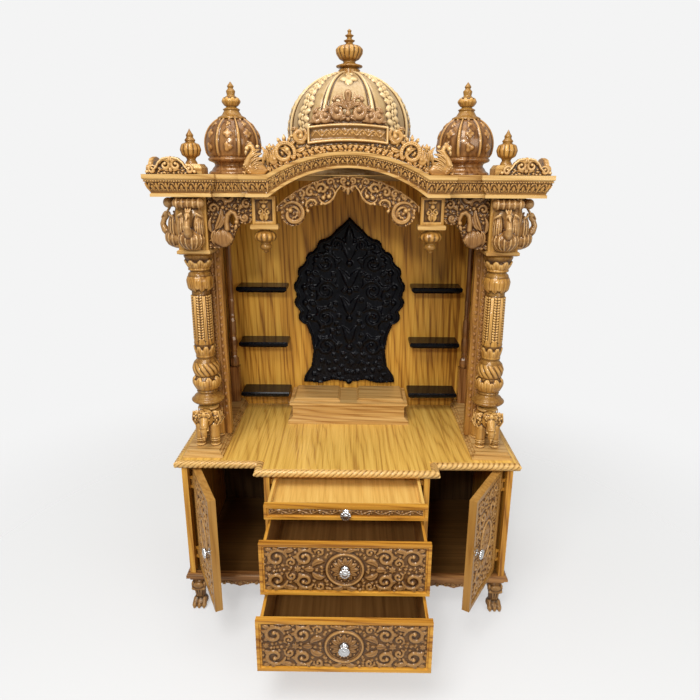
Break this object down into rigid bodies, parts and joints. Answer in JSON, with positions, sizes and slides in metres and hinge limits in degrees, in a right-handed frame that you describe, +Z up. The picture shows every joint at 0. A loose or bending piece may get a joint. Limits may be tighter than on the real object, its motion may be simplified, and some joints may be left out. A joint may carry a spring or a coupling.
{
  "type": "home temple cabinet (pooja mandir)",
  "caption": "Carved wooden home temple: domed shrine with columns and arch on a cabinet with hinged doors and sliding drawers.",
  "frame": {"origin": "bottom centre of the bounding box, on the floor, with doors and drawers open as pictured", "axes": "+Z up, front faces -Y, +X to the right as seen from the front"},
  "size_m": [1.156, 0.941, 1.867],
  "materials": {
    "teak": "honey-coloured satin varnish with darker carving recesses",
    "dark_teak": "dull dark stain on inner faces",
    "black_lacquer": "glossy black lacquer",
    "silver": "cast silver-coloured metal"
  },
  "bodies": {
    "cabinet": {"bottom_board": "teak", "base_apron": "teak", "front_left_foot": "teak", "front_right_foot": "teak", "rear_left_foot": "teak", "rear_right_foot": "teak", "left_side_panel": "teak", "right_side_panel": "teak", "left_divider": "teak", "right_divider": "teak", "cabinet_back": "dark_teak", "top_slab": "teak", "rope_moulding": "teak", "left_plinth": "teak", "right_plinth": "teak", "left_elephant": "teak", "right_elephant": "teak", "left_front_column": "teak", "right_front_column": "teak", "left_rear_column": "teak", "right_rear_column": "teak", "left_side_wall": "dark_teak", "right_side_wall": "dark_teak", "left_spandrel": "teak", "right_spandrel": "teak", "cusped_arch": "teak", "back_wall": "teak", "halo_panel": "black_lacquer", "left_upper_shelf": "black_lacquer", "left_middle_shelf": "black_lacquer", "left_lower_shelf": "black_lacquer", "right_upper_shelf": "black_lacquer", "right_middle_shelf": "black_lacquer", "right_lower_shelf": "black_lacquer", "idol_plinth": "teak", "cornice": "teak", "roof_deck": "dark_teak", "arch_crest": "teak", "centre_dome": "teak", "left_dome": "teak", "right_dome": "teak", "left_antefix": "teak", "right_antefix": "teak", "left_corner_finial": "teak", "right_corner_finial": "teak"},
    "left_leaf": {"left_door": "teak", "left_door_knob": "silver"},
    "right_leaf": {"right_door": "teak", "right_door_knob": "silver"},
    "tray_drawer": {"tray_drawer_front": "teak", "tray_drawer_box": "dark_teak", "tray_drawer_knob": "silver"},
    "middle_drawer": {"middle_drawer_front": "teak", "middle_drawer_box": "dark_teak", "middle_drawer_knob": "silver"},
    "lower_drawer": {"lower_drawer_front": "teak", "lower_drawer_box": "dark_teak", "lower_drawer_knob": "silver"}
  },
  "joints": [
    {"name": "left_door_hinge", "type": "hinge", "parent": "cabinet", "child": "left_leaf", "pos_m": [-0.512, -0.0075, 0.3365], "axis": [0, 0, 1], "range_deg": [-28.7, 64.3]},
    {"name": "right_door_hinge", "type": "hinge", "parent": "cabinet", "child": "right_leaf", "pos_m": [0.512, -0.0075, 0.3365], "axis": [0, 0, 1], "range_deg": [-58.8, 34.2]},
    {"name": "tray_drawer_slide", "type": "slide", "parent": "cabinet", "child": "tray_drawer", "axis": [0, -1, 0], "range_m": [-0.154, 0.226]},
    {"name": "middle_drawer_slide", "type": "slide", "parent": "cabinet", "child": "middle_drawer", "axis": [0, -1, 0], "range_m": [-0.264, 0.116]},
    {"name": "lower_drawer_slide", "type": "slide", "parent": "cabinet", "child": "lower_drawer", "axis": [0, -1, 0], "range_m": [-0.36, 0.02]}
  ]
}
